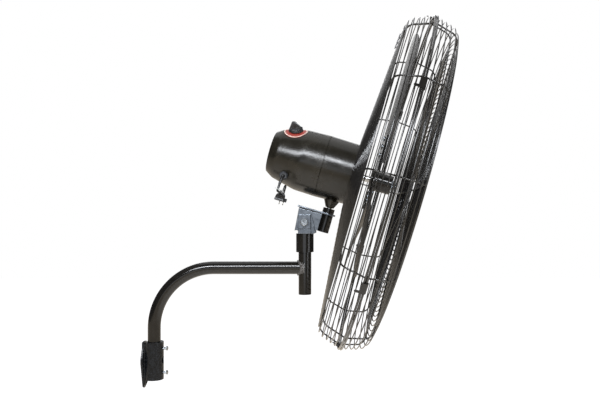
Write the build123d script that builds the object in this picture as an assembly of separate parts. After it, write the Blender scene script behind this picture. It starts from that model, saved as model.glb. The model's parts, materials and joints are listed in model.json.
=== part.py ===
from build123d import *
import os
from math import asin, atan2, cos, degrees, floor, hypot, pi, radians, sin, sqrt, tan

# Wall mounted fan: a cast wall socket carries a bent gooseneck arm, the arm's post carries a
# swivelling yoke, and the yoke carries the tilting motor head with its wire guard and blades.
# Millimetres. The origin is the centre of the wall bracket's back face: +X points out of the
# wall, +Z up. The head is modelled level, in the frame of its tilt bolt, and tilted at the end.

os.makedirs("parts", exist_ok=True)

# Clearances
touch = 0.02          # faces of fixed pieces that meet
running = 0.06        # a turning pin in its hole, on the radius
seat_gap = 0.3        # a moving or loose piece and what carries it

# Wall bracket
plate_thick = 5.0
plate_wide_r = 26.0   # the rounded waist of the plate
plate_waist_z = 9.0
plate_top_r = 9.0
plate_top = 56.0
plate_tip_r = 9.0
plate_bottom = -60.0
socket_x = 27.25
socket_r = 23.25
socket_top = 55.0
socket_bottom = -38.5
web_width = 26.0      # of the block between plate and socket
gusset_reach = 12.0   # of the two ribs under the socket, from the wall
gusset_thick = 2.5
gusset_low = 3.0      # above the plate's tip
socket_floor = 6.0
notch_width = 4.0
notch_depth = 5.0
wall_bolt_hole_r = 4.5
wall_bolt_spacing = 60.0
countersink_r = 8.5
countersink_depth = 4.0
driver_hole_r = 9.0
drain_hole_r = 4.0
set_bolt_high = 38.0
set_bolt_low = -22.0

# Arm and post, both of the same round tube
tube_r = 15.875
tube_wall = 3.0
arm_bend_r = 150.0
arm_level = 239.5
post_x = 404.0
post_bottom = 173.0
weld_leg = 3.5

# Collar and yoke
collar_r = 21.75
collar_bottom = 279.0
collar_top = 325.0
clamp_bolt_level = 298.0
yoke_thick = 3.0
yoke_gap = 44.0       # between the inner faces of its two cheeks
yoke_half_width = 15.75
yoke_top = 18.5       # above the tilt bolt
yoke_rib_thick = 1.5
yoke_rib_length = 36.0
yoke_toe_x = 28.0
yoke_toe_r = 6.0
yoke_hole_r = 3.0
yoke_hole_drop = 17.0

# Tilt bolt and head
tilt_deg = 16.0
tilt_axis_z = 354.5
tilt_bolt_r = 5.0
bracket_thick = 3.0
bracket_top = 36.0
bracket_top_thick = 4.0
bracket_back = -27.0
bracket_nose = 68.7
cheek_back = -23.0
cheek_toe = -11.0
cheek_heel_x = -17.5
cheek_heel = -27.5
pivot_u = 49.3
pivot_tube_r = 14.5
cheek_lap = 2.0         # how far the bracket's cheeks reach past the near side of the pivot tube
pivot_tube_bottom = -12.5
pivot_tube_top = 48.5
stud_r = 6.0
boss_gap = 2.0
boss_small_r = 10.0
boss_large_r = 19.0

# Motor housing: lengths along the motor axis are measured from the seam between its two shells
motor_height = 146.0
seam_u = 6.0
shell_seam_r = 78.5
shell_front_r = 76.5
shell_front = 74.0
shell_back = -135.0
shell_back_r = 50.0
shell_hip = -116.0
shell_hip_r = 62.0
shell_shoulder = -56.0
shell_shoulder_r = 76.6
shell_wall = 2.5
shell_bore_r = 74.8
seam_groove = 0.8
shield_thick = 7.0
rear_shield_face = -51.0
stator_bore_r = 45.0
stator_back = -20.0
stator_front = 40.0
stator_slots = 24
slot_width = 4.0
slot_depth = 16.0
slot_mouth = 0.5
winding_length = 16.0
winding_inner_r = 50.0
winding_outer_r = 68.0
air_gap = 0.6
rotor_overhang = 2.0
shaft_r = 8.0
bearing_r = 20.0
bearing_width = 12.0
bearing_race = 4.0
ball_count = 8
shield_screw_r = 2.5
shield_screw_count = 4
shield_screw_inset = 8.0

# Speed dial, on the cone of the rear shell, turned towards the side
dial_along = -86.5
dial_angle = 26.0
dial_r = 29.0
dial_thick = 0.8
knob_r = 18.2
knob_skirt = 8.0
knob_height = 25.0
knob_grip = 12.0
spindle_r = 3.0
spindle_reach = 6.5
switch_size = 28.0
switch_depth = 20.0

# Cord outlet, cord and plug
gland_along = -83.7
gland_drop = 51.5     # below the motor's axis
gland_r = 10.5
gland_face = 62.0     # out from the motor's middle plane
gland_neck_r = 8.0
gland_neck_end = 38.0
boot_r = 4.0
cord_r = 2.75
plug_width = 24.0
plug_height = 19.0
plug_thick = 15.0
plug_corner_r = 3.0
plug_offset = 5.0     # of its middle from the cord
plug_lug = (4.0, 9.0, 9.0)
pin_blade = (1.6, 6.3, 8.0)
pin_spacing = 9.0
pin_offset = -4.5
tie_place = 0.42      # along the cord
tie_thick = 1.2
tie_gap = 0.5
tie_width = 4.0
tie_tail = 9.0

# Guard: lengths along the motor axis are measured from the plane where its halves meet
rim_ahead = 161.5
rim_r = 420.5
rim_wire_r = 2.5
rim_gap = 0.3
rib_r = 1.9
rib_count = 12
rib_corner_r = 24.0
rib_end_gap = 0.2
ring_wire_r = 1.4
ring_pitch = 12.0
rear_corner_drop = 23.5   # each half's corner, inward of the rim wires
front_corner_drop = 19.0
rear_corner = (-59.0, rim_r - rear_corner_drop)
front_corner = (57.5, rim_r - front_corner_drop)
face_slope = 4.6       # the rear face's lean, in degrees
front_dome = 6.5
guard_plate_r = 72.0
guard_plate_bore_r = 48.0
guard_plate_thick = 2.5
guard_screw_count = 4
guard_screw_r = 2.5
guard_screw_circle_r = 60.0
badge_r = 44.0
badge_thick = 2.0
strip_drop = 45.0      # of its middle, inward of the rear corner
strip_length = 40.0
strip_r = 1.6

# Guard latches
latch_count = 6
latch_lead = 2.9       # past the rib beside each latch, in degrees
latch_length = 27.0
latch_thick = 1.5
latch_clear = 0.6
latch_open = 48.0      # degrees
latch_tab = (12.0, 6.5)

# Fan
blade_count = 3
blade_tip_r = 381.0
blade_root_r = 46.0
blade_root_chord = 110.0
blade_tip_chord = 120.0
blade_corner_r = 58.0
blade_thick = 2.0
blade_camber_r = 340.0
blade_crest = -30.0    # along the axis, where the arched blade lies furthest back
blade_pitch = 7.5
blade_turn = 0.0       # of the first blade past the top, in degrees
hub_r = 24.0
hub_back = -40.0
hub_front = 14.0
spider_thick = 3.0
spider_reach = 118.0
spider_width = 44.0
rivet_r = 3.0
rivet_head_r = 6.0
rivet_head = 2.5
rivet_rows = (66.0, 88.0, 108.0)
rivet_gap = 0.1
shaft_thread = 14.0

# Bolts: shank radius, width across the head's flats, head height
m6 = (3.0, 10.0, 4.0)
m8 = (4.0, 13.0, 5.3)
m10 = (5.0, 17.0, 6.5)
washer_r = 10.0
washer_thick = 2.0
thread_clear = 0.05


def save(name, shape):
    export_step(shape, f"parts/{name}.step")


def group(solids):
    return Compound(children=list(solids))


def along_x(shape):
    """Turns a shape made along +Z so that it runs along +X."""
    return Rot(0, 90, 0) * shape


def rod_x(radius, start, end):
    return Pos((start + end) / 2, 0, 0) * along_x(Cylinder(radius, end - start))


def rod_y(radius, start, end):
    return Pos(0, (start + end) / 2, 0) * Rot(90, 0, 0) * Cylinder(radius, end - start)


def rod_z(radius, start, end):
    return Pos(0, 0, (start + end) / 2) * Cylinder(radius, end - start)


def turned(points, radii=None):
    """A solid turned about the X axis from an outline of (along, radius) points off the axis."""
    if radii:
        top = FilletPolyline(*[(x, 0, r) for x, r in points], radius=radii)
    else:
        top = Polyline(*[(x, 0, r) for x, r in points])
    (first, first_r), (last, last_r) = points[0], points[-1]
    edges = top.edges() + Line((last, 0, 0), (first, 0, 0)).edges()
    if first_r > 0:
        edges += Line((first, 0, 0), top @ 0).edges()
    if last_r > 0:
        edges += Line(top @ 1, (last, 0, 0)).edges()
    return revolve(make_face(edges), axis=Axis.X)


def hex_bolt(size, length):
    """Head on the +X side of the origin, shank towards -X."""
    shank, flats, head = size
    prism = along_x(extrude(RegularPolygon(flats / 2, 6, major_radius=False), head))
    dome = turned([(0, 0.575 * flats), (head * 0.8, 0.575 * flats), (head, 0.47 * flats)])
    return (prism & dome) + rod_x(shank, -length, 0)


def ring_x(radius, at, wire):
    return Pos(at, 0, 0) * along_x(Torus(radius, wire))


def light_ring_x(radius, at, wire):
    """A ring of thin wire, eight-sided in section so that many rings stay light."""
    section = Plane.XZ * Pos(at, radius) * RegularPolygon(wire, 8)
    return revolve(section, axis=Axis.X)


def around_x(shape, count, lead=0.0):
    """Copies at equal steps around the X axis, the first one lead degrees from the top
    towards -Y."""
    return [Rot(lead + 360.0 * k / count, 0, 0) * shape for k in range(count)]


# ---------------------------------------------------------------- wall bracket

tube_bore = tube_r - tube_wall
low_bolt_z = plate_bottom + plate_tip_r
high_bolt_z = low_bolt_z + wall_bolt_spacing
socket_bore = tube_r + running
front_of_socket = socket_x + socket_r


def gussets():
    """Two small ribs under the socket, one each side of the lower wall bolt."""
    side = Polygon((plate_thick - 1, socket_bottom + 1), (gusset_reach, socket_bottom + 1),
                   (plate_thick - 1, plate_bottom + gusset_low), align=None)
    rib = Pos(0, plate_tip_r, 0) * extrude(Plane.XZ * side, gusset_thick)
    return rib + mirror(rib, Plane.XZ)


def wall_bracket():
    waist = Pos(0, plate_waist_z) * Circle(plate_wide_r)
    top = Pos(0, plate_top - plate_top_r) * Circle(plate_top_r)
    tip = Pos(0, low_bolt_z) * Circle(plate_tip_r)
    outline = make_hull((waist + top + tip).edges())
    plate = extrude(Plane.YZ * outline, plate_thick)
    plate = fillet(plate.faces().sort_by(Axis.X)[-1].edges(), 2.0)
    height = socket_top - socket_bottom
    middle = (socket_top + socket_bottom) / 2
    barrel = Pos(socket_x, 0, middle) * Cylinder(socket_r, height)
    web = Pos(socket_x / 2, 0, middle) * Box(socket_x, web_width, height)
    casting = plate + barrel + web + gussets()
    notch = Pos(plate_thick + notch_width / 2, 0, socket_top) * Box(
        notch_width, 2 * socket_r, 2 * notch_depth)
    floor_z = socket_bottom + socket_floor
    bore = Pos(socket_x, 0, 0) * rod_z(socket_bore, floor_z, socket_top + 1)
    drain = Pos(socket_x, 0, 0) * rod_z(drain_hole_r, socket_bottom - 1, floor_z + 1)
    casting = casting - notch - bore - drain
    for level in (low_bolt_z, high_bolt_z):
        casting -= Pos(0, 0, level) * rod_x(wall_bolt_hole_r, -1, socket_x)
    sink_mouth = socket_x - socket_bore + 0.5
    sink = Cone(wall_bolt_hole_r, countersink_r, countersink_depth)
    casting -= Pos(sink_mouth - countersink_depth / 2, 0, high_bolt_z) * along_x(sink)
    casting -= Pos(0, 0, high_bolt_z) * rod_x(countersink_r, sink_mouth, socket_x)
    casting -= Pos(0, 0, high_bolt_z) * rod_x(driver_hole_r, socket_x, front_of_socket + 1)
    for level in (set_bolt_high, set_bolt_low):
        casting -= Pos(0, 0, level) * rod_x(m6[0] + thread_clear, socket_x, front_of_socket + 1)
    return casting


def set_bolts():
    proud = 7.0
    tip = socket_x + tube_r + 2 * running
    head = front_of_socket + proud
    return [Pos(head, 0, z) * hex_bolt(m6, head - tip) for z in (set_bolt_high, set_bolt_low)]


# ---------------------------------------------------------------- gooseneck arm

def hollow_sweep(path, outer, inner):
    start = Plane(origin=path @ 0, z_dir=path % 0)
    return sweep(start * Circle(outer), path=path) - sweep(start * Circle(inner), path=path)


def post_cutter(radius):
    return Pos(post_x, 0, 0) * rod_z(radius, post_bottom, collar_top)


def arm_tube():
    floor_z = socket_bottom + socket_floor
    path = FilletPolyline((socket_x, 0, floor_z + seat_gap), (socket_x, 0, arm_level),
                          (post_x, 0, arm_level), radius=arm_bend_r)
    return hollow_sweep(path, tube_r, tube_bore) - post_cutter(tube_r + touch)


def arm_post():
    top = collar_top - seat_gap
    post = Pos(post_x, 0, 0) * (rod_z(tube_r, post_bottom, top) - rod_z(tube_bore, post_bottom, top))
    return chamfer(post.faces().sort_by(Axis.Z)[0].edges(), 0.5)


def arm_weld():
    """The bead where the level tube meets the post: what both tubes, grown by the weld's leg,
    share outside the tubes themselves."""
    reach = tube_r + weld_leg
    arm_run = Pos(0, 0, arm_level) * rod_x(reach, post_x - 2 * reach, post_x)
    bead = arm_run & post_cutter(reach)
    bead -= post_cutter(tube_r + touch)
    return bead - Pos(0, 0, arm_level) * rod_x(tube_r + touch, post_x - 3 * reach, post_x + reach)


# ---------------------------------------------------------------- collar and yoke

yoke_inner = yoke_gap / 2
yoke_outer = yoke_inner + yoke_thick
yoke_face = yoke_outer + yoke_rib_thick
yoke_base = collar_top - tilt_axis_z + touch
collar_outer = collar_r


def collar():
    sleeve = rod_z(collar_outer, collar_bottom, collar_top)
    sleeve -= rod_z(tube_r + running, collar_bottom - 1, collar_top + 1)
    sleeve = chamfer(sleeve.edges().filter_by(GeomType.CIRCLE).group_by(Axis.Z)[0], 0.6)
    sleeve -= Pos(0, 0, clamp_bolt_level) * rod_y(m8[0] + thread_clear, 0, collar_outer + 1)
    return Pos(post_x, 0, 0) * sleeve


def collar_bolt():
    """A set bolt in the collar's far side, its tip just off the post."""
    proud = 4.0
    tip = tube_r + 2 * running
    head = collar_outer + proud
    bolt = Rot(0, 0, 90) * Pos(head, 0, 0) * hex_bolt(m8, head - tip)
    return Pos(post_x, 0, clamp_bolt_level) * bolt


def at_tilt_bolt(shape):
    """From the tilt bolt's upright frame to the part's frame."""
    return Pos(post_x, 0, tilt_axis_z) * shape


def yoke():
    back = -yoke_half_width
    cheek = Polygon((back, yoke_base), (yoke_toe_x - yoke_toe_r, yoke_base - 2), (yoke_toe_x, yoke_base + 2),
                    (yoke_half_width + 1.5, yoke_top), (back, yoke_top), align=None)
    cheek = fillet(cheek.vertices(), 1.5)
    cheek -= Circle(tilt_bolt_r + thread_clear) + Pos(0, -yoke_hole_drop) * Circle(yoke_hole_r)
    near = Pos(0, -yoke_inner, 0) * extrude(Plane.XZ * cheek, yoke_thick)
    rib = RectangleRounded(2 * yoke_half_width, yoke_rib_length, 1.5)
    rib = Pos(0, yoke_top - yoke_rib_length / 2) * rib
    rib -= Circle(tilt_bolt_r + thread_clear) + Pos(0, -yoke_hole_drop) * Circle(yoke_hole_r)
    near += Pos(0, -yoke_outer, 0) * extrude(Plane.XZ * rib, yoke_rib_thick)
    base = Pos(0, 0, yoke_base + yoke_thick / 2) * Box(2 * yoke_half_width, 2 * yoke_outer, yoke_thick)
    return at_tilt_bolt(near + mirror(near, Plane.XZ) + base)


def tilt_washers():
    disc = rod_y(washer_r, 0, washer_thick) - rod_y(tilt_bolt_r + thread_clear, -1, washer_thick + 1)
    near = Pos(0, -yoke_face - washer_thick - touch, 0) * disc
    far = Pos(0, yoke_face + touch, 0) * disc
    return [at_tilt_bolt(near), at_tilt_bolt(far)]


def tilt_bolt():
    head = yoke_face + washer_thick + 2 * touch
    length = 2 * head + 12
    return at_tilt_bolt(Rot(0, 0, -90) * Pos(head, 0, 0) * hex_bolt(m10, length))


def tilt_nut():
    nut = along_x(extrude(RegularPolygon(m10[1] / 2, 6, major_radius=False), 8))
    nut -= rod_x(tilt_bolt_r + thread_clear, -1, 9)
    nut = Pos(yoke_face + washer_thick + 2 * touch, 0, 0) * nut
    return at_tilt_bolt(Rot(0, 0, 90) * nut)


# ---------------------------------------------------------------- tilting head frames

head_place = Location((post_x, 0, tilt_axis_z), (0, tilt_deg, 0))
motor_place = head_place * Location((seam_u, 0, motor_height))
guard_place = motor_place * Location((rim_ahead, 0, 0))

cheek_outer = yoke_inner - seat_gap
cheek_inner = cheek_outer - bracket_thick
cheek_front = pivot_u - pivot_tube_r + cheek_lap


def tilt_bracket():
    under = bracket_top - bracket_top_thick
    cheek = Polygon((cheek_back, under + 1), (cheek_heel_x, cheek_heel), (cheek_heel_x + 3, cheek_heel + 2.5),
                    (0, cheek_heel + 2), (yoke_half_width - 2, cheek_heel + 6), (cheek_front, cheek_toe),
                    (cheek_front, under + 1), align=None)
    cheek -= Circle(tilt_bolt_r + running)
    near = Pos(0, -cheek_inner, 0) * extrude(Plane.XZ * cheek, bracket_thick)
    length = bracket_nose - bracket_back
    top = Pos((bracket_nose + bracket_back) / 2, 0, bracket_top - bracket_top_thick / 2) * Box(
        length, 2 * cheek_outer, bracket_top_thick)
    nose = top.edges().filter_by(Axis.Z).sort_by(Axis.X)[-2:]
    top = fillet(nose, cheek_outer - 3)
    bracket = near + mirror(near, Plane.XZ) + top
    bracket -= Pos(pivot_u, 0, bracket_top) * Cylinder(pivot_tube_r + touch, 4 * bracket_top_thick)
    return head_place * bracket


def pivot_tube():
    tube = rod_z(pivot_tube_r, pivot_tube_bottom, pivot_tube_top)
    tube -= rod_z(stud_r + running, pivot_tube_bottom - 1, pivot_tube_top + 1)
    tube = chamfer(tube.edges().filter_by(GeomType.CIRCLE), 0.6)
    return head_place * Pos(pivot_u, 0, 0) * tube


boss_bottom = pivot_tube_top + boss_gap
pivot_along = pivot_u - seam_u


def pivot_stud():
    thread_end = boss_bottom + 14
    stud = rod_z(stud_r, pivot_tube_bottom + 3, thread_end)
    return head_place * Pos(pivot_u, 0, 0) * chamfer(stud.edges().filter_by(GeomType.CIRCLE), 0.8)


def front_outer(grow):
    """The front shell's outside, grown by a few tenths where a neighbour is cut to it."""
    return turned([(0, shell_seam_r + grow), (shell_front, shell_front_r + grow)])


def stud_boss():
    top = motor_height - shell_seam_r + 20
    cone = Pos(0, 0, (boss_bottom + top) / 2) * Cone(
        boss_small_r, boss_small_r + (boss_large_r - boss_small_r) * (top - boss_bottom) / 18, top - boss_bottom)
    cone &= rod_z(boss_large_r, boss_bottom, top)
    cone -= rod_z(stud_r + touch, boss_bottom - 1, boss_bottom + 14 + 1)
    boss = Pos(pivot_u, 0, 0) * cone
    boss -= Pos(seam_u, 0, motor_height) * front_outer(touch)
    return head_place * boss.solids().sort_by(Axis.Z)[0]


# ---------------------------------------------------------------- motor

def rear_outer(grow):
    return turned([(shell_back - grow, 0.0), (shell_back - grow, shell_back_r + 0.6 * grow),
                   (shell_hip - 0.5 * grow, shell_hip_r + 0.9 * grow),
                   (shell_shoulder, shell_shoulder_r + grow), (0, shell_seam_r + grow)],
                  [6.0 + grow, 24.0 + grow, 60.0 + grow])


def rear_inner():
    w = shell_wall
    return turned([(shell_back + w, 0.0), (shell_back + w, shell_back_r - 0.6 * w),
                   (shell_hip + 0.5 * w, shell_hip_r - 0.9 * w),
                   (shell_shoulder, shell_bore_r - 1.0), (shell_shoulder + 4, shell_bore_r),
                   (0, shell_bore_r)], [6.0 - w, 24.0 - w, 10.0, 1.0])


def on_shell(along, angle):
    """A frame on the rear shell's cone, its +Z square to the surface."""
    part = (along - shell_hip) / (shell_shoulder - shell_hip)
    radius = shell_hip_r + part * (shell_shoulder_r - shell_hip_r)
    lean = degrees(atan2(shell_shoulder_r - shell_hip_r, shell_shoulder - shell_hip))
    return Rot(angle, 0, 0) * Pos(along, 0, radius) * Rot(0, -lean, 0)


dial_frame = on_shell(dial_along, dial_angle)
gland_frame = Pos(gland_along, 0, -gland_drop) * Rot(90, 0, 0)


def rear_shell():
    shell = rear_outer(0) - rear_inner()
    shell = chamfer(shell.edges().filter_by(GeomType.CIRCLE).group_by(Axis.X)[-1].sort_by(SortBy.RADIUS)[-1],
                    seam_groove)
    shell -= dial_frame * rod_z(spindle_r + 2, -shell_wall * 3, shell_wall * 3)
    shell -= gland_frame * rod_z(gland_neck_r + touch, gland_neck_end - 1, gland_face)
    return motor_place * shell


def front_shell():
    shell = front_outer(0) - rod_x(shell_bore_r, -1, shell_front + 1)
    rim = shell.edges().filter_by(GeomType.CIRCLE).group_by(Axis.X)
    shell = chamfer(rim[0].sort_by(SortBy.RADIUS)[-1], seam_groove)
    return motor_place * shell


def end_shield(face, side):
    """A disc in the shell with a bearing seat; side is +1 when the seat reaches forwards."""
    inner_face = face - side * shield_thick
    low, high = min(face, inner_face), max(face, inner_face)
    disc = rod_x(shell_bore_r - touch, low, high)
    hub_low, hub_high = (low - bearing_width + 4, high) if side > 0 else (low, high + bearing_width - 4)
    disc += rod_x(bearing_r + 5, hub_low, hub_high)
    seat_low, seat_high = (hub_low, hub_low + bearing_width) if side > 0 else (hub_high - bearing_width, hub_high)
    disc -= rod_x(bearing_r + touch, seat_low - (side > 0), seat_high + (side < 0))
    disc -= rod_x(shaft_r + 2, hub_low - 1, hub_high + 1)
    return disc, seat_low


front_shield, front_seat = end_shield(shell_front - touch, 1)
rear_shield, rear_seat = end_shield(rear_shield_face, -1)
bearing_seats = (rear_seat, front_seat)


def stator_core():
    slots = PolarLocations(stator_bore_r + slot_depth / 2, stator_slots) * Rectangle(slot_depth, slot_width)
    bore = Circle(stator_bore_r + slot_mouth)
    section = Circle(shell_bore_r - touch) - bore - slots
    core = extrude(Plane.YZ * section, stator_front - stator_back)
    return motor_place * Pos(stator_back, 0, 0) * core


def stator_windings():
    turns = []
    for start in (stator_back - winding_length - touch, stator_front + touch):
        ring = rod_x(winding_outer_r, start, start + winding_length)
        ring -= rod_x(winding_inner_r, start - 1, start + winding_length + 1)
        turns.append(motor_place * fillet(ring.edges().filter_by(GeomType.CIRCLE), 4))
    return turns


def rotor():
    core = rod_x(stator_bore_r - air_gap, stator_back - rotor_overhang, stator_front + rotor_overhang)
    return motor_place * (core - rod_x(shaft_r + touch, stator_back - 9, stator_front + 9))


def fan_shaft():
    end = rim_ahead + hub_front + shaft_thread
    shaft = rod_x(shaft_r, rear_seat - 2, end)
    return motor_place * chamfer(shaft.edges().filter_by(GeomType.CIRCLE), 1)


inner_race_r = shaft_r + bearing_race
outer_race_r = bearing_r - bearing_race
ball_circle_r = (inner_race_r + outer_race_r) / 2
ball_r = (outer_race_r - inner_race_r) / 2 - running


def race(outer, inner, start):
    ring = rod_x(outer, start + touch, start + bearing_width - touch)
    return motor_place * (ring - rod_x(inner, start - 1, start + bearing_width + 1))


def bearing_balls(start):
    ball = Pos(start + bearing_width / 2, 0, ball_circle_r) * Sphere(ball_r)
    return [motor_place * b for b in around_x(ball, ball_count)]


def shield_screw():
    shank = rod_x(shield_screw_r, shell_front - shield_thick, shell_front)
    head = rod_x(1.8 * shield_screw_r, shell_front, shell_front + 2)
    return Pos(0, 0, shell_bore_r - shield_screw_inset) * (shank + head)


def guard_screw():
    """Holds the guard's mounting plate to the front end shield."""
    plate_front = shell_front + 2 * touch + guard_plate_thick
    shank = rod_x(guard_screw_r, shell_front - shield_thick, plate_front)
    head = rod_x(1.8 * guard_screw_r, plate_front, plate_front + 2.6)
    return Pos(0, 0, guard_screw_circle_r) * (shank + head)


def motor_front_screws():
    edge = around_x(shield_screw(), shield_screw_count, 180 / shield_screw_count)
    return [motor_place * one for one in edge + around_x(guard_screw(), guard_screw_count)]


def front_end_shield():
    low, high = shell_front - shield_thick - 1, shell_front + 1
    edge = Pos(0, 0, shell_bore_r - shield_screw_inset) * rod_x(shield_screw_r + touch, low, high)
    inner = Pos(0, 0, guard_screw_circle_r) * rod_x(guard_screw_r + touch, low, high)
    shield = front_shield - around_x(edge, shield_screw_count, 180 / shield_screw_count)
    return motor_place * (shield - around_x(inner, guard_screw_count))


# ---------------------------------------------------------------- dial, knob and switch

def dial_plate():
    """A thin disc that follows the shell under it."""
    skin = rear_outer(dial_thick + touch) - rear_outer(touch)
    disc = dial_frame * (rod_z(dial_r, -22, 8) - rod_z(spindle_r + 2, -23, 9))
    return motor_place * (skin & disc)


knob_foot = dial_thick + touch + seat_gap


def control_knob():
    """A round skirt with a wedge-shaped grip across it, and the spindle it turns."""
    skirt = Pos(0, 0, knob_foot + knob_skirt / 2) * Cone(knob_r, knob_r - 1.5, knob_skirt)
    side = Polygon((1 - knob_r, knob_foot + 1), (knob_r - 1, knob_foot + 1), (knob_r - 2, knob_skirt + 4),
                   (-2, knob_height), (8 - knob_r, knob_height), align=None)
    grip = Pos(0, knob_grip / 2, 0) * extrude(Plane.XZ * side, knob_grip)
    grip &= rod_z(knob_r - 0.8, knob_foot, knob_height + 1)
    spindle = rod_z(spindle_r, -spindle_reach, knob_foot + 1)
    return motor_place * dial_frame * (skirt + grip + spindle)


def speed_switch():
    top = -shell_wall - 2.2
    body = Pos(0, 0, top - switch_depth / 2) * Box(switch_size, switch_size, switch_depth)
    bush = rod_z(spindle_r + 1.8, top, -1)
    return motor_place * dial_frame * (body + bush - rod_z(spindle_r + running, -spindle_reach - 1, 1))


# ---------------------------------------------------------------- cord outlet, cord and plug

def cord_gland():
    """A round screwed gland whose axis is level, seated on the shell's curved side."""
    body = rod_z(gland_r, gland_neck_end, gland_face - 4)
    body += Pos(0, 0, gland_face - 2) * Cone(gland_r, gland_r - 3, 4)
    body -= rear_outer_at_gland()
    body = body.solids().sort_by(SortBy.VOLUME)[-1]
    return motor_place * gland_frame * (body + rod_z(gland_neck_r, gland_neck_end, gland_face - 6))


def rear_outer_at_gland():
    return gland_frame.inverse() * rear_outer(touch)


boot_start = (motor_place * gland_frame * Pos(0, 0, gland_face + touch)).position
boot_bend = boot_start + Vector(0, -11.0, 0)
boot_end = Vector(347.7, -76.5, 446.1)
boot_way = (boot_end - boot_bend).normalized()
boot_route = [boot_start, boot_bend, boot_end]
cord_route = [
    boot_end + touch * boot_way,
    boot_end + 10.5 * boot_way,
    Vector(342.8, -84.0, 429.5),
    Vector(350.3, -87.3, 425.5),
    Vector(358.5, -84.0, 430.5),
    Vector(361.5, -81.0, 441.0),
    Vector(362.0, -71.0, 442.0),
    Vector(359.0, -66.0, 433.0),
    Vector(356.0, -66.5, 423.0),
]


def route_radii(points):
    radii = []
    for before, corner, after in zip(points, points[1:], points[2:]):
        run_in, run_out = corner - before, after - corner
        turn = radians(run_in.get_angle(run_out))
        radii.append(0.45 * min(run_in.length, run_out.length) / tan(turn / 2))
    return radii


def round_sweep(path, radius):
    start = Plane(origin=path @ 0, z_dir=path % 0)
    return sweep(start * Circle(radius), path=path)


cord_radii = route_radii(cord_route)
print("cord radii", [round(r, 1) for r in cord_radii])
cord_path = FilletPolyline(*cord_route, radius=cord_radii)
print("cord length", round(cord_path.length, 1))


def strain_relief():
    path = FilletPolyline(*boot_route, radius=route_radii(boot_route))
    return round_sweep(path, boot_r)


def power_cord():
    tube = round_sweep(cord_path, cord_r)
    print("cord volume / (section x length)", round(tube.volume / (pi * cord_r**2 * cord_path.length), 4))
    return tube


plug_frame = Plane(origin=cord_path @ 1, z_dir=cord_path % 1, x_dir=Vector(0, 1, 0).cross(cord_path % 1))


def plug_body():
    shell = Box(plug_width, plug_thick, plug_height)
    shell = fillet(shell.edges().filter_by(Axis.Z), plug_corner_r)
    shell = fillet(shell.faces().sort_by(Axis.Z)[-1].edges(), 1.5)
    shell = Pos(plug_offset, 0, 0) * shell
    length, breadth, height = plug_lug
    lug = Pos(plug_offset - plug_width / 2 - length / 2 + 1, 0, 1) * Box(length + 2, breadth, height)
    return plug_frame * Pos(0, 0, plug_height / 2 + touch) * (shell + lug)


def plug_pins():
    width, breadth, length = pin_blade
    start = plug_height + 2 * touch
    places = (pin_offset - pin_spacing / 2 + 3, pin_offset + pin_spacing / 2 + 3)
    return [plug_frame * Pos(x, 0, start + length / 2) * Box(width, breadth, length) for x in places]


def cord_tie():
    """A wire tie round the cord beside the plug, with its twisted tail."""
    seat = Plane(origin=cord_path @ tie_place, z_dir=cord_path % tie_place)
    inner = cord_r + tie_gap
    band = Cylinder(inner + tie_thick, tie_width) - Cylinder(inner, tie_width + 1)
    tail = Pos(-inner - tie_tail / 2, 0, 0) * Box(tie_tail, tie_thick * 1.5, tie_width * 0.7)
    return seat * (band + tail)


# ---------------------------------------------------------------- guard

rim_offset = rim_wire_r + rim_gap / 2
rib_lift = rib_r + ring_wire_r + touch      # from a rib's centre line to that of a ring outside it


def rib_start(corner, side):
    """Where a rib ends beside its rim wire, on the rim's inner side. side is +1 at the front."""
    back, drop = side * (corner[0] - side * rim_offset), rim_r - corner[1]
    run = hypot(back, drop)
    clear = rim_wire_r + rib_r + touch
    angle = atan2(drop, back) + asin(clear / run)
    reach = sqrt(run**2 - clear**2)
    return corner[0] - side * reach * cos(angle - 2 * asin(clear / run)), corner[1] + reach * sin(
        angle - 2 * asin(clear / run))


rear_inner_x = rear_corner[0] - (rear_corner[1] - guard_plate_r) * tan(radians(face_slope))
rear_line = [rib_start(rear_corner, -1), rear_corner, (rear_inner_x, guard_plate_r + rib_end_gap)]
front_inner_x = front_corner[0] + front_dome
front_line = [rib_start(front_corner, 1), front_corner, (front_inner_x, badge_r + rib_end_gap)]


def rib_path(line):
    return FilletPolyline(*[(x, 0, r) for x, r in line], radius=rib_corner_r)


def guard_rib(line):
    path = rib_path(line)
    start = Plane(origin=path @ 0, z_dir=path % 0)
    return sweep(start * Circle(rib_r), path=path)


def ring_reaches(line, inner_free):
    """How far along a rib from its rim end the rings cross it, up to inner_free from its inner end."""
    count = floor((rib_path(line).length - inner_free) / ring_pitch + 1e-9)
    return [(k + 1) * ring_pitch for k in range(count)]


def ring_at(line, side, reach):
    """A ring that touches the outer side of the ribs. side is +1 at the front."""
    path = rib_path(line)
    spot, way = path @ (reach / path.length), path % (reach / path.length)
    outward = Vector(-way.Z, 0, way.X) * side
    middle = spot + rib_lift * outward
    return light_ring_x(middle.Z, middle.X, ring_wire_r)


def guard_nodes():
    for name, line, side, inner_free in (("rear", rear_line, -1, 12.0), ("front", front_line, 1, 6.0)):
        rim = ring_x(rim_r, side * rim_offset, rim_wire_r)
        save(f"{name}_guard_rim", guard_place * rim)
        ribs = around_x(guard_rib(line), rib_count)
        save(f"{name}_guard_ribs", group(guard_place * rib for rib in ribs))
        (rim_x, end_r), (corner_x, corner_r), _ = line
        band_width = hypot(corner_x - rim_x, corner_r - end_r)
        reaches = ring_reaches(line, inner_free)
        band = [ring_at(line, side, reach) for reach in reaches if reach <= band_width]
        save(f"{name}_guard_band_rings", group(guard_place * r for r in band))
        face = [ring_at(line, side, reach) for reach in reaches if reach > band_width]
        save(f"{name}_guard_face_rings", group(guard_place * r for r in face))


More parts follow.
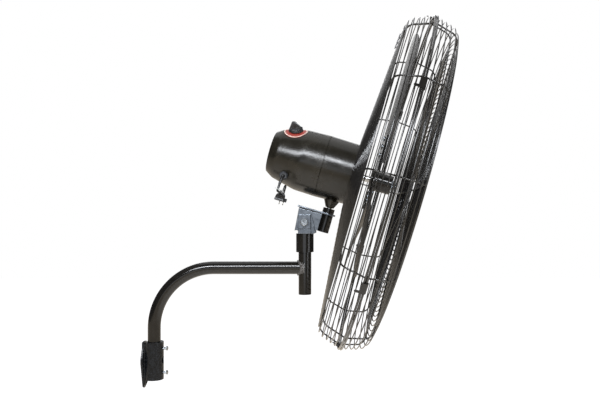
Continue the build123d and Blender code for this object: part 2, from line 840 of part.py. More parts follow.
def guard_plate():
    """The ring that carries the rear ribs, screwed to the front of the motor."""
    back = shell_front - rim_ahead + touch
    low, high = back - 1, back + guard_plate_thick + 1
    plate = rod_x(guard_plate_r, back, back + guard_plate_thick) - rod_x(guard_plate_bore_r, low, high)
    relief = Pos(0, 0, shell_bore_r - shield_screw_inset) * rod_x(1.8 * shield_screw_r + 1, low, high)
    hole = Pos(0, 0, guard_screw_circle_r) * rod_x(guard_screw_r + touch, low, high)
    plate -= around_x(relief, shield_screw_count, 180 / shield_screw_count)
    return guard_place * (plate - around_x(hole, guard_screw_count))


def centre_badge():
    """A bare pressed disc that closes the middle of the front guard."""
    disc = rod_x(badge_r, front_inner_x - badge_thick / 2, front_inner_x + badge_thick / 2)
    edge = disc.edges().filter_by(GeomType.CIRCLE).group_by(Axis.X)[-1]
    return guard_place * fillet(edge, badge_thick * 0.6)


def rib_strip():
    """The short wire welded across the rings behind the uppermost rear rib."""
    part = strip_drop / (rear_corner[1] - guard_plate_r)
    x = rear_corner[0] + part * (rear_inner_x - rear_corner[0])
    lift = rib_r + 2 * ring_wire_r + strip_r + 2 * touch
    strip = rod_z(strip_r, -strip_length / 2, strip_length / 2)
    return guard_place * Pos(x - lift, 0, rear_corner[1] - strip_drop) * Rot(0, face_slope, 0) * strip


def latch():
    """A sheet clip that hooks both rim wires together: it turns on the front wire, and its hook
    and finger tab stand behind the rear wire. Made at the top of the guard, along Y."""
    eye_outer = rim_wire_r + latch_clear + latch_thick
    eye_inner = rim_wire_r + latch_clear
    front = rim_offset
    hook_face = -rim_offset - eye_inner
    eye = Pos(front, rim_r) * (Circle(eye_outer) - Circle(eye_inner))
    eye -= Pos(front - eye_outer, rim_r) * Rectangle(2 * eye_outer, 3 * eye_outer)
    bridge_length = front - hook_face + latch_thick
    bridge = Pos(front - bridge_length / 2, rim_r + eye_inner + latch_thick / 2) * Rectangle(
        bridge_length, latch_thick)
    hook = Pos(hook_face - latch_thick / 2, rim_r + eye_inner / 2 + latch_thick / 2) * Rectangle(
        latch_thick, eye_inner + latch_thick)
    profile = Plane.XZ * (eye + bridge + hook)
    clip = Pos(0, latch_length / 2, 0) * extrude(profile, latch_length)
    reach, breadth = latch_tab
    tab = Pos(hook_face - reach / 2, -latch_length / 2 + breadth / 2, rim_r + eye_inner + latch_thick / 2) * Box(
        reach, breadth, latch_thick)
    return clip + tab


# ---------------------------------------------------------------- fan

def fan_hub():
    hub = rod_x(hub_r, hub_back, hub_front) - rod_x(shaft_r + touch, hub_back - 1, hub_front + 1)
    return guard_place * chamfer(hub.edges().filter_by(GeomType.CIRCLE), 1.2)


def arched_sheet(thick, lift, outline):
    """A thin sheet over an outline in the YZ plane, arched about Z with its hollow side to the
    front. lift moves it forwards from the blades' own middle surface."""
    arc_r = blade_camber_r - lift
    length = 2 * blade_tip_r
    sheet = Cylinder(arc_r + thick / 2, length) - Cylinder(arc_r - thick / 2, length)
    prism = Pos(-blade_camber_r / 2, 0, 0) * extrude(Plane.YZ * outline, blade_camber_r)
    return (Pos(blade_camber_r, 0, blade_tip_r) * sheet & prism).solids().sort_by(Axis.X)[0]


def at_pitch(shape):
    return Pos(blade_crest, 0, 0) * Rot(0, 0, blade_pitch) * shape


def rivet_holes(reach):
    return [Pos(0, 0, r) * rod_x(rivet_r + touch, -reach, reach) for r in rivet_rows]


def blade():
    outline = Polygon((-blade_root_chord / 2, blade_root_r), (blade_root_chord / 2, blade_root_r),
                      (blade_tip_chord / 2, blade_tip_r), (-blade_tip_chord / 2, blade_tip_r), align=None)
    outline = fillet(outline.vertices().sort_by(Axis.Y)[-2:], blade_corner_r)
    sheet = arched_sheet(blade_thick, 0, outline)
    return at_pitch(sheet & rod_x(blade_tip_r, -blade_camber_r, blade_camber_r)) - [
        at_pitch(hole) for hole in rivet_holes(10)]


def spider_arm():
    """A strip that lies on the back of a blade, its inner end cut to the hub."""
    outline = Pos(0, spider_reach / 2) * RectangleRounded(spider_width, spider_reach, 8)
    strip = arched_sheet(spider_thick, -(blade_thick / 2 + spider_thick / 2 + touch), outline)
    strip = at_pitch(strip) - [at_pitch(hole) for hole in rivet_holes(12)]
    strip -= rod_x(hub_r + touch, hub_back - 60, hub_front + 60)
    return strip.solids().sort_by(SortBy.VOLUME)[-1]


def rivets():
    """Each rivet holds a blade to its spider arm, with a flat head on each side."""
    back = -blade_thick / 2 - spider_thick - 2 * touch - rivet_gap
    front = blade_thick / 2 + touch + rivet_gap
    solids = []
    for r in rivet_rows:
        heads = rod_x(rivet_head_r, front, front + rivet_head) + rod_x(rivet_head_r, back - rivet_head, back)
        solids += around_x(at_pitch(Pos(0, 0, r) * (rod_x(rivet_r, back, front) + heads)), blade_count, blade_turn)
    return [guard_place * one for one in solids]


def shaft_nut():
    nut = along_x(extrude(RegularPolygon(12, 6, major_radius=False), 10))
    nut -= rod_x(shaft_r + thread_clear, -1, 11)
    return guard_place * Pos(hub_front + touch, 0, 0) * nut


# ---------------------------------------------------------------- write the pieces

def write_carrier():
    save("wall_bracket", wall_bracket())
    save("socket_set_bolts", group(set_bolts()))
    save("gooseneck_tube", arm_tube())
    save("arm_post", arm_post())
    save("arm_weld", arm_weld())
    save("swivel_collar", collar())
    save("collar_bolt", collar_bolt())
    save("tilt_yoke", yoke())
    save("tilt_bolt", tilt_bolt())
    save("tilt_washers", group(tilt_washers()))
    save("tilt_nut", tilt_nut())
    save("tilt_bracket", tilt_bracket())
    save("pivot_tube", pivot_tube())


def write_motor():
    save("pivot_stud", pivot_stud())
    save("stud_boss", stud_boss())
    save("rear_motor_shell", rear_shell())
    save("front_motor_shell", front_shell())
    save("front_end_shield", front_end_shield())
    save("rear_end_shield", motor_place * rear_shield)
    save("motor_front_screws", group(motor_front_screws()))
    save("stator_core", stator_core())
    save("stator_windings", group(stator_windings()))
    save("bearing_outer_races", group(race(bearing_r, outer_race_r, s) for s in bearing_seats))
    save("bearing_balls", group(b for s in bearing_seats for b in bearing_balls(s)))
    save("bearing_inner_races", group(race(inner_race_r, shaft_r + touch, s) for s in bearing_seats))
    save("rotor", rotor())
    save("fan_shaft", fan_shaft())
    save("dial_plate", dial_plate())
    save("speed_switch", speed_switch())
    save("control_knob", control_knob())


def write_cord():
    save("cord_gland", cord_gland())
    save("strain_relief", strain_relief())
    save("power_cord", power_cord())
    save("cord_tie", cord_tie())
    save("plug_body", plug_body())
    save("plug_pins", group(plug_pins()))


def write_guard():
    guard_nodes()
    save("guard_mounting_plate", guard_plate())
    save("centre_badge", centre_badge())
    save("rib_strip", rib_strip())
    for number, clip in enumerate(around_x(latch(), latch_count, latch_lead), start=1):
        save(f"guard_latch_{number}", guard_place * clip)


def write_fan():
    save("fan_hub", fan_hub())
    arms = around_x(spider_arm(), blade_count, blade_turn)
    save("hub_spider", group(guard_place * a for a in arms))
    for number, one in enumerate(around_x(blade(), blade_count, blade_turn), start=1):
        save(f"fan_blade_{number}", guard_place * one)
    save("blade_rivets", group(rivets()))
    save("shaft_nut", shaft_nut())


write_carrier()
write_motor()
write_cord()
write_guard()
write_fan()
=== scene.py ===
"""Wall mounted fan: the dressed model, in the frame of the part. Metres, +X out of the wall, +Z up."""
import json
import math
import random

import bmesh
import bpy
from mathutils import Matrix, Vector


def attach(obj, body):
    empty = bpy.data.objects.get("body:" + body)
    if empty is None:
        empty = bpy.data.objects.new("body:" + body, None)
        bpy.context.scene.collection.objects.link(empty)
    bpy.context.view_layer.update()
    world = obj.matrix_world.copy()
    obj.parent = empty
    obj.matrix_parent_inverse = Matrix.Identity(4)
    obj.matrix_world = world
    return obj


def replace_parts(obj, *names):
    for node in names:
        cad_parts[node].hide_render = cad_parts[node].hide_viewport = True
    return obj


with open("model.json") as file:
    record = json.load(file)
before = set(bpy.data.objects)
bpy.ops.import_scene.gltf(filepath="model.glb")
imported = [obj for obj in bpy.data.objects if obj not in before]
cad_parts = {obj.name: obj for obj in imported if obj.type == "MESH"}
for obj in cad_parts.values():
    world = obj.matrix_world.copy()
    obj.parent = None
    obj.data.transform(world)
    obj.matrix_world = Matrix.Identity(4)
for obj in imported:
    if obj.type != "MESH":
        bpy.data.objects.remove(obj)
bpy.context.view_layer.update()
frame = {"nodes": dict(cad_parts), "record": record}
nodes = frame["nodes"]
MM = 0.001

# ------------------------------------------------------------------ camera

camera_data = bpy.data.cameras.new("camera")
camera_data.lens = 41.8
camera_data.sensor_width = 36.0
camera_data.shift_x = -0.0767
camera_data.shift_y = 0.015
camera_data.clip_start = 0.05
camera_data.clip_end = 60.0
camera = bpy.data.objects.new("camera", camera_data)
camera.location = (0.5068, -1.742, 0.3863)
camera.rotation_euler = (math.radians(90), 0, 0)
bpy.context.scene.collection.objects.link(camera)
bpy.context.scene.camera = camera
bpy.context.scene.view_settings.view_transform = "Standard"

# ------------------------------------------------------------------ frames of the tilted head

HEAD_TILT = math.radians(16)
TILT_AXIS = (0.404, 0, 0.3545)
MOTOR_OFFSET = (0.006, 0, 0.146)
GUARD_OFFSET = (0.1615, 0, 0)
# The motor's rear cone and the dial on it, in mm behind the motor's middle
CONE_START, DIAL_BACK, CONE_END = 56.0, 86.5, 116.0
CONE_LARGE_R, CONE_SMALL_R = 76.6, 62.0
DIAL_TURN = math.radians(26)
DIAL_LEAN = math.atan2(CONE_LARGE_R - CONE_SMALL_R, CONE_END - CONE_START)
DIAL_REACH = CONE_SMALL_R + (CONE_END - DIAL_BACK) * math.tan(DIAL_LEAN)

TILT = Matrix.Translation(TILT_AXIS)
HEAD = TILT @ Matrix.Rotation(HEAD_TILT, 4, "Y")
MOTOR = HEAD @ Matrix.Translation(MOTOR_OFFSET)
GUARD = MOTOR @ Matrix.Translation(GUARD_OFFSET)
DIAL = (MOTOR @ Matrix.Rotation(DIAL_TURN, 4, "X")
        @ Matrix.Translation((-DIAL_BACK * MM, 0, DIAL_REACH * MM))
        @ Matrix.Rotation(-DIAL_LEAN, 4, "Y"))


# ------------------------------------------------------------------ material helpers

PATCH_SPAN = (0.35, 0.68)
NOISE_SPAN = (0.3, 0.7)


def new_material(name):
    made = bpy.data.materials.new(name)
    made.use_nodes = True
    tree = made.node_tree
    return made, tree, tree.nodes["Principled BSDF"]


def add_node(tree, kind, values=None, links=None):
    """A new shader node, with values on some of its inputs and links to others."""
    node = tree.nodes.new(kind)
    for socket, value in (values or {}).items():
        node.inputs[socket].default_value = value
    for socket, source in (links or {}).items():
        tree.links.new(source, node.inputs[socket])
    return node


def math_node(tree, operation, *values):
    """Each value is a number or the output of another node."""
    node = tree.nodes.new("ShaderNodeMath")
    node.operation = operation
    for socket, value in zip(node.inputs, values):
        if isinstance(value, float):
            socket.default_value = value
        else:
            tree.links.new(value, socket)
    return node.outputs[0]


def vector_math(tree, operation, source, other=None):
    node = tree.nodes.new("ShaderNodeVectorMath")
    node.operation = operation
    tree.links.new(source, node.inputs[0])
    if other is not None:
        node.inputs[1].default_value = other
    return node


def noise(tree, coords, scale, detail=4.0, roughness=0.55, stretch=(1, 1, 1)):
    mapping = add_node(tree, "ShaderNodeMapping", {"Scale": stretch}, {"Vector": coords})
    values = {"Scale": scale, "Detail": detail, "Roughness": roughness}
    links = {"Vector": mapping.outputs["Vector"]}
    return add_node(tree, "ShaderNodeTexNoise", values, links).outputs["Fac"]


def ramp(tree, value, span, colors):
    """The first colour up to the span's start, the second from its end on."""
    node = add_node(tree, "ShaderNodeValToRGB", links={"Fac": value})
    for element, place, color in zip(node.color_ramp.elements, span, colors):
        element.position = place
        element.color = (*color, 1)
    return node.outputs["Color"]


def remap(tree, value, low, high):
    """Spreads the usual values of a noise over a range."""
    start, end = NOISE_SPAN
    values = {"From Min": start, "From Max": end, "To Min": low, "To Max": high}
    return add_node(tree, "ShaderNodeMapRange", values, {"Value": value}).outputs["Result"]


def bump(tree, height, strength, distance):
    values = {"Strength": strength, "Distance": distance}
    return add_node(tree, "ShaderNodeBump", values, {"Height": height}).outputs["Normal"]


def cover(tree, shader, color, roughness, normal):
    """Gives the shader what varies over the surface."""
    tree.links.new(color, shader.inputs["Base Color"])
    tree.links.new(roughness, shader.inputs["Roughness"])
    tree.links.new(normal, shader.inputs["Normal"])


def finish_material(name, dark, light, rough, grain, metallic=0.0, specular=0.5, coat=0.0,
                    peel=0.15, patch=14.0, stretch=(1, 1, 1), grain_depth=0.0002):
    """Paint, metal or plastic: slow patches of colour, uneven gloss and a fine bumpy grain."""
    made, tree, shader = new_material(name)
    coords = tree.nodes.new("ShaderNodeTexCoord").outputs["Object"]
    patches = noise(tree, coords, patch, detail=5.0, roughness=0.6, stretch=stretch)
    fine = noise(tree, coords, grain, detail=3.0, roughness=0.6, stretch=stretch)
    cover(tree, shader, ramp(tree, patches, PATCH_SPAN, (dark, light)), remap(tree, patches, *rough),
          bump(tree, fine, peel, grain_depth))
    shader.inputs["Metallic"].default_value = metallic
    shader.inputs["Specular IOR Level"].default_value = specular
    shader.inputs["Coat Weight"].default_value = coat
    return made


# The dial's marks and lines, in metres, and its colours: each pair is a dark and a light one
DIAL_MARKS, MARK_HALF_SHARE = 16.0, 0.05
DIAL_RIM_R, DIAL_MARK_R, DIAL_LINE_HALF = 0.0276, 0.0252, 0.0010
DIAL_RED = ((0.20, 0.022, 0.016), (0.36, 0.05, 0.035))
DIAL_PALE = ((0.62, 0.50, 0.42), (0.82, 0.72, 0.64))
DIAL_GRAIN, DIAL_ROUGH = 260.0, (0.3, 0.5)
WELD_COLORS, WELD_ROUGH = ((0.03, 0.026, 0.022), (0.16, 0.15, 0.14)), (0.15, 0.3)
WELD_GRAIN, WELD_RIPPLES = 260.0, 330.0


def dial_material():
    """Red plate with a pale rim line and pale marks, drawn by radius and angle about the dial."""
    made, tree, shader = new_material("red_dial")
    position = tree.nodes.new("ShaderNodeTexCoord").outputs["Object"]
    offset = vector_math(tree, "SUBTRACT", position, DIAL.translation).outputs["Vector"]
    x_way, y_way, _ = DIAL.to_3x3().transposed()
    x = vector_math(tree, "DOT_PRODUCT", offset, x_way).outputs["Value"]
    y = vector_math(tree, "DOT_PRODUCT", offset, y_way).outputs["Value"]
    flat = add_node(tree, "ShaderNodeCombineXYZ", links={"X": x, "Y": y}).outputs["Vector"]
    radius = vector_math(tree, "LENGTH", flat).outputs["Value"]
    angle = math_node(tree, "ARCTAN2", y, x)
    turns = math_node(tree, "MULTIPLY", angle, DIAL_MARKS / (2 * math.pi))
    steps = math_node(tree, "FRACT", math_node(tree, "ADD", turns, 0.5))
    rim = math_node(tree, "COMPARE", radius, DIAL_RIM_R, DIAL_LINE_HALF)
    near_mark = math_node(tree, "COMPARE", steps, 0.5, MARK_HALF_SHARE)
    mark_ring = math_node(tree, "COMPARE", radius, DIAL_MARK_R, DIAL_LINE_HALF)
    lines = math_node(tree, "MAXIMUM", rim, math_node(tree, "MULTIPLY", near_mark, mark_ring))
    wear = noise(tree, position, DIAL_GRAIN)
    red = ramp(tree, wear, NOISE_SPAN, DIAL_RED)
    pale = ramp(tree, wear, NOISE_SPAN, DIAL_PALE)
    colors = add_node(tree, "ShaderNodeMixRGB", links={"Fac": lines, "Color1": red, "Color2": pale})
    cover(tree, shader, colors.outputs[0], remap(tree, wear, *DIAL_ROUGH),
          bump(tree, wear, strength=0.15, distance=0.0001))
    return made


def weld_material():
    """The same paint over a weld: a bead of overlapping ripples."""
    made, tree, shader = new_material("weld_paint")
    coords = tree.nodes.new("ShaderNodeTexCoord").outputs["Object"]
    ripples = add_node(tree, "ShaderNodeTexVoronoi", {"Scale": WELD_RIPPLES}, {"Vector": coords})
    patches = noise(tree, coords, WELD_GRAIN)
    cover(tree, shader, ramp(tree, patches, PATCH_SPAN, WELD_COLORS), remap(tree, patches, *WELD_ROUGH),
          bump(tree, ripples.outputs["Distance"], strength=0.9, distance=0.0012))
    return made


# ------------------------------------------------------------------ finishes

# Each finish: the dark and light colours of its patches, its roughness from smooth to dull, how fine its
# grain is, and what else it has
FINISHES = {
    "cast_black": ((0.002, 0.0023, 0.0027), (0.013, 0.0145, 0.017), (0.14, 0.34), 340.0,
                   dict(specular=0.3, peel=0.4, patch=190.0, grain_depth=0.0011)),
    "black_paint": ((0.007, 0.006, 0.0035), (0.014, 0.0115, 0.007), (0.17, 0.32), 150.0,
                    dict(peel=0.50, patch=26.0, grain_depth=0.0004)),
    "tube_paint": ((0.004, 0.0035, 0.003), (0.009, 0.0078, 0.006), (0.10, 0.17), 90.0,
                   dict(specular=0.55, peel=0.012, patch=30.0, grain_depth=0.0003)),
    "plate_paint": ((0.12, 0.135, 0.155), (0.215, 0.24, 0.27), (0.24, 0.38), 300.0,
                    dict(metallic=0.85, peel=0.25, patch=60.0, grain_depth=0.0003)),
    "washer_zinc": ((0.10, 0.10, 0.105), (0.26, 0.265, 0.27), (0.25, 0.45), 1500.0,
                    dict(metallic=1.0, peel=0.3, patch=300.0)),
    "gland_plastic": ((0.022, 0.023, 0.025), (0.050, 0.052, 0.056), (0.22, 0.36), 900.0,
                      dict(peel=0.2, patch=140.0)),
    "zinc": ((0.20, 0.225, 0.245), (0.62, 0.67, 0.72), (0.12, 0.30), 520.0,
             dict(metallic=1.0, peel=0.7, patch=330.0, grain_depth=0.0006)),
    "stud_steel": ((0.55, 0.55, 0.54), (0.8, 0.8, 0.79), (0.15, 0.3), 1800.0,
                   dict(metallic=1.0, peel=0.2, patch=90.0, grain_depth=0.0001)),
    "motor_steel": ((0.22, 0.22, 0.22), (0.36, 0.35, 0.34), (0.35, 0.5), 1500.0,
                    dict(metallic=1.0, stretch=(20, 1, 1))),
    "winding_copper": ((0.35, 0.12, 0.04), (0.6, 0.26, 0.1), (0.25, 0.45), 900.0,
                       dict(metallic=1.0)),
    "black_plastic": ((0.008, 0.008, 0.0085), (0.034, 0.035, 0.036), (0.18, 0.36), 1500.0,
                      dict(peel=0.3, patch=80.0, grain_depth=0.0001)),
    "cord_rubber": ((0.004, 0.004, 0.0045), (0.011, 0.011, 0.011), (0.24, 0.4), 1400.0,
                    dict(peel=0.3, patch=60.0, grain_depth=0.00012)),
    "white_tie": ((0.62, 0.63, 0.6), (0.82, 0.82, 0.79), (0.3, 0.45), 1200.0,
                  dict(peel=0.2, patch=90.0)),
    "pin_brass": ((0.10, 0.09, 0.07), (0.42, 0.40, 0.34), (0.2, 0.35), 1500.0,
                  dict(metallic=1.0, patch=200.0)),
    "guard_wire": ((0.006, 0.0055, 0.0048), (0.016, 0.0145, 0.0125), (0.11, 0.19), 1200.0,
                   dict(specular=0.6, coat=0.25, peel=0.10, patch=45.0, grain_depth=0.0001)),
    "blade_paint": ((0.016, 0.014, 0.012), (0.034, 0.030, 0.026), (0.22, 0.38), 500.0,
                    dict(patch=9.0)),
}
materials = {name: finish_material(name, *look, **more) for name, (*look, more) in FINISHES.items()}
materials["red_dial"] = dial_material()
materials["weld_paint"] = weld_material()

# Nodes whose finish differs in look from the rest of their slot
SPECIAL = {
    "plate_paint": ("tilt_yoke", "tilt_bracket"),
    "tube_paint": ("gooseneck_tube", "arm_post", "swivel_collar", "pivot_tube", "fan_hub", "hub_spider",
                   "front_end_shield", "guard_mounting_plate"),
    "weld_paint": ("arm_weld",),
    "zinc": ("tilt_bolt",),
    "washer_zinc": ("tilt_washers",),
    "gland_plastic": ("cord_gland",),
}


def dress(obj, finish):
    obj.data.materials.clear()
    obj.data.materials.append(materials[finish])


finish_of = {part["node"]: part["material_slot"] for part in frame["record"]["subparts"]}
for finish, names in SPECIAL.items():
    finish_of.update(dict.fromkeys(names, finish))
for node_name, node in nodes.items():
    dress(node, finish_of[node_name])


# ------------------------------------------------------------------ mesh helpers

SHARP_ANGLE = math.radians(40)
SAME_POINT = 1e-6


def new_object(name, bm, body, slot, smooth=True, finish=None):
    mesh = bpy.data.meshes.new(name)
    bmesh.ops.recalc_face_normals(bm, faces=bm.faces)
    for face in bm.faces:
        face.smooth = smooth
    bm.to_mesh(mesh)
    bm.free()
    obj = bpy.data.objects.new(name, mesh)
    bpy.context.scene.collection.objects.link(obj)
    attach(obj, body)
    dress(obj, finish or slot)
    return obj


def tube(bm, sections, closed=False):
    """Joins cross-sections, each a list of points, into one skin, with flat ends if it is open."""
    loops = [[bm.verts.new(p) for p in points] for points in sections]
    pairs = list(zip(loops, loops[1:]))
    if closed:
        pairs.append((loops[-1], loops[0]))
    for one, two in pairs:
        for k in range(len(one)):
            nxt = (k + 1) % len(one)
            bm.faces.new((one[k], one[nxt], two[nxt], two[k]))
    if not closed:
        bm.faces.new(loops[0])
        bm.faces.new(loops[-1][::-1])


def soften(obj, width, segments=3):
    """Rounds the piece's edges and keeps its flat faces flat. The width is in mm."""
    bevel = obj.modifiers.new("rounded_edges", "BEVEL")
    bevel.width = width * MM
    bevel.segments = segments
    bevel.limit_method = "ANGLE"
    bevel.angle_limit = SHARP_ANGLE
    bevel.harden_normals = True


def placed(place, x, y, z):
    """A point given in mm in a piece's own frame."""
    return place @ Vector((x * MM, y * MM, z * MM))


def turned(bm, place, outline, sides, swell):
    """A round piece about +Z from (radius, height) points. swell gives each angle its stretch."""
    sections = []
    for radius, height in outline:
        section = []
        for k in range(sides):
            angle = 2 * math.pi * k / sides
            reach = radius * swell(angle, height)
            section.append(placed(place, reach * math.cos(angle), reach * math.sin(angle), height))
        sections.append(section)
    tube(bm, sections)


def follow(bm, points, section_at):
    """Sweeps a section along points. section_at(share) gives (across, up) offsets in mm."""
    ways = [(b - a).normalized() for a, b in zip(points, points[1:])]
    ways.append(ways[-1])
    across = ways[0].orthogonal().normalized()
    sections = []
    for number, (point, way) in enumerate(zip(points, ways)):
        across = (across - way * across.dot(way)).normalized()
        up = way.cross(across)
        offsets = section_at(number / (len(points) - 1))
        sections.append([point + (across * a + up * b) * MM for a, b in offsets])
    tube(bm, sections)


def circle(radius, sides):
    turns = [2 * math.pi * k / sides for k in range(sides)]
    return [(radius * math.cos(t), radius * math.sin(t)) for t in turns]


def oblong(width, depth, corner, steps=5):
    """A rounded rectangle's points, anticlockwise."""
    points = []
    for quarter, (sx, sy) in enumerate(((1, 1), (-1, 1), (-1, -1), (1, -1))):
        for k in range(steps + 1):
            angle = math.pi / 2 * (quarter + k / steps)
            points.append((sx * (width / 2 - corner) + corner * math.cos(angle),
                           sy * (depth / 2 - corner) + corner * math.sin(angle)))
    return points


def arc(centre, radius, start, end, steps):
    """Points of an arc between two angles in degrees."""
    angles = [math.radians(start + (end - start) * k / steps) for k in range(steps + 1)]
    return [(centre[0] + radius * math.cos(a), centre[1] + radius * math.sin(a)) for a in angles]


def plate(bm, place, outlines, low, high, edge):
    """A flat plate with rounded edges, between two depths in mm. Its first outline may hold holes."""
    curve = bpy.data.curves.new("plate_outline", "CURVE")
    curve.dimensions = "2D"
    curve.fill_mode = "BOTH"
    for points in outlines:
        spline = curve.splines.new("POLY")
        spline.points.add(len(points) - 1)
        for point, (x, y) in zip(spline.points, points):
            point.co = (x, y, 0, 1)
        spline.use_cyclic_u = True
    curve.extrude = (high - low) / 2 - edge
    curve.bevel_depth = edge
    curve.offset = -edge
    curve.bevel_resolution = 2
    guide = bpy.data.objects.new("plate_outline", curve)
    mesh = bpy.data.meshes.new_from_object(guide)
    mesh.transform(place @ Matrix.Scale(MM, 4) @ Matrix.Translation((0, 0, (low + high) / 2)))
    bm.from_mesh(mesh)
    bpy.data.objects.remove(guide)
    bpy.data.curves.remove(curve)
    bpy.data.meshes.remove(mesh)
    bmesh.ops.remove_doubles(bm, verts=bm.verts, dist=SAME_POINT)


# ------------------------------------------------------------------ cord, lengths in mm

# The control points of the cord's smooth line, from the boot's end to the plug
ROUTE = [
    (347.7, -76.5, 446.1), (344.7, -77.8, 436.1), (342.8, -84.0, 429.5), (350.3, -87.3, 425.5),
    (358.5, -84.0, 430.5), (361.5, -81.0, 441.0), (362.0, -71.0, 442.0), (359.0, -66.0, 433.0),
    (356.0, -66.5, 423.0),
]
CORD_R = 2.75
# The gland's mouth in the motor's frame, in metres, and how far the boot runs straight out of it
GLAND_MOUTH, BOOT_STRAIGHT = (-0.0837, -0.06202, -0.0515), 11
BOOT_BASE_R, BOOT_TIP_R, BOOT_SIDES, BOOT_FINE = 4.5, 3.3, 20, 3
# The boot's grooves: their number and depth, the shares of its length between which they lie, and how
# low the wave along it is inside one
BOOT_GROOVES, BOOT_GROOVE_DEPTH, BOOT_RIBBED, BOOT_GROOVE_LEVEL = 7, 0.7, (0.12, 0.9), -0.2

PLUG_WIDTH, PLUG_THICK, PLUG_HEIGHT, PLUG_CORNER, PLUG_EDGE = 24.0, 15.0, 19.0, 3.0, 0.5
PLUG_OFFSET, PLUG_OFFSET_GROWTH = 5.0, 1.02
# The grip's levels: height, share of the width and share of the thickness
PLUG_LEVELS = [(0.0, 0.5, 0.55), (1.0, 0.62, 0.7), (3.0, 0.78, 0.84), (6.0, 0.9, 0.84), (7.0, 0.92, 0.74),
               (8.0, 0.93, 0.84), (9.5, 0.94, 0.74), (10.5, 0.95, 0.84), (12.0, 0.96, 0.74),
               (13.0, 0.97, 0.9), (14.5, 1.0, 1.0), (18.4, 1.0, 1.0), (PLUG_HEIGHT, 0.95, 0.93)]
LUG_PLACE, LUG_WIDTH, LUG_THICK, LUG_CORNER, LUG_LEVELS = -9.5, 5.6, 9.0, 1.6, (10.0, 18.6)
PIN_PLACES, PIN_WIDE, PIN_DEEP, PIN_LENGTH, PIN_CORNER, PIN_SEAT = (-6.0, 3.0), 1.6, 6.3, 8.0, 0.4, 0.05
# How a pin narrows: distance before its tip and share of its section
PIN_TAPER = [(1.6, 1.0), (0.5, 0.8), (0, 0.45)]

# The tie: its place as a share of the cord's length, its loops' radius, places along the cord and lean,
# and the end of its twisted tail, in metres
TIE_PLACE, TIE_R, TIE_LOOPS, TIE_LOOP_LEAN = 0.42, 3.5, (-1.1, 1.1), 0.3
TIE_END = Vector((0.3392, -0.0860, 0.4375))
TIE_THIN, TIE_LOOP_WIDE, TWIST_WIDE, TIE_CORNER = 0.9, 1.9, 1.5, 0.4
TWIST_HALF_TURNS, TWIST_R, TWIST_SPLAY, TWIST_SPLAY_START = 5, 0.75, 1.6, 0.8
LOOP_STEPS, TWIST_STEPS = 24, 48


def nurbs_line(name, points):
    curve = bpy.data.curves.new(name, "CURVE")
    curve.dimensions = "3D"
    spline = curve.splines.new("NURBS")
    spline.points.add(len(points) - 1)
    for point, place in zip(spline.points, points):
        point.co = (*[c * MM for c in place], 1)
    spline.order_u = 3
    spline.use_endpoint_u = True
    curve.resolution_u = 12
    return curve


def line_points(name, points):
    """Points along the smooth line that the curve itself follows."""
    guide = bpy.data.objects.new(name, nurbs_line(name, points))
    mesh = bpy.data.meshes.new_from_object(guide)
    places = [v.co.copy() for v in mesh.vertices]
    bpy.data.objects.remove(guide)
    bpy.data.meshes.remove(mesh)
    return places


cord_curve = nurbs_line("fan_cord", ROUTE)
cord_curve.bevel_depth = CORD_R * MM
cord_curve.bevel_resolution = 6
cord_curve.use_fill_caps = True
cord = bpy.data.objects.new("fan_cord", cord_curve)
bpy.context.scene.collection.objects.link(cord)
cord_curve.materials.append(materials["cord_rubber"])
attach(cord, "head")
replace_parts(cord, "power_cord")
cord_line = line_points("cord_line", ROUTE)


def strain_relief():
    """The tapered rubber boot between the gland and the cord, with its soft ribs."""
    mouth = MOTOR @ Vector(GLAND_MOUTH) / MM
    points = line_points("boot_line", [mouth, mouth - Vector((0, BOOT_STRAIGHT, 0)), Vector(ROUTE[0])])

    def section_at(share):
        radius = BOOT_BASE_R + (BOOT_TIP_R - BOOT_BASE_R) * share
        wave = math.sin(share * BOOT_GROOVES * 2 * math.pi)
        grooved = BOOT_RIBBED[0] < share < BOOT_RIBBED[1] and wave < BOOT_GROOVE_LEVEL
        return circle(radius - (BOOT_GROOVE_DEPTH if grooved else 0), BOOT_SIDES)
    dense = []
    for a, b in zip(points, points[1:]):
        dense += [a.lerp(b, k / BOOT_FINE) for k in range(BOOT_FINE)]
    bm = bmesh.new()
    follow(bm, dense + [points[-1]], section_at)
    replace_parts(new_object("cord_boot", bm, "head", "cord_rubber"), "strain_relief")


def plug_place():
    """The plug's frame: its +Z goes on along the cord's last run."""
    way = (Vector(ROUTE[-1]) - Vector(ROUTE[-2])).normalized()
    across = Vector((0, 1, 0)).cross(way).normalized()
    turn = Matrix((across, way.cross(across), way)).transposed().to_4x4()
    return Matrix.Translation(Vector(ROUTE[-1]) * MM) @ turn


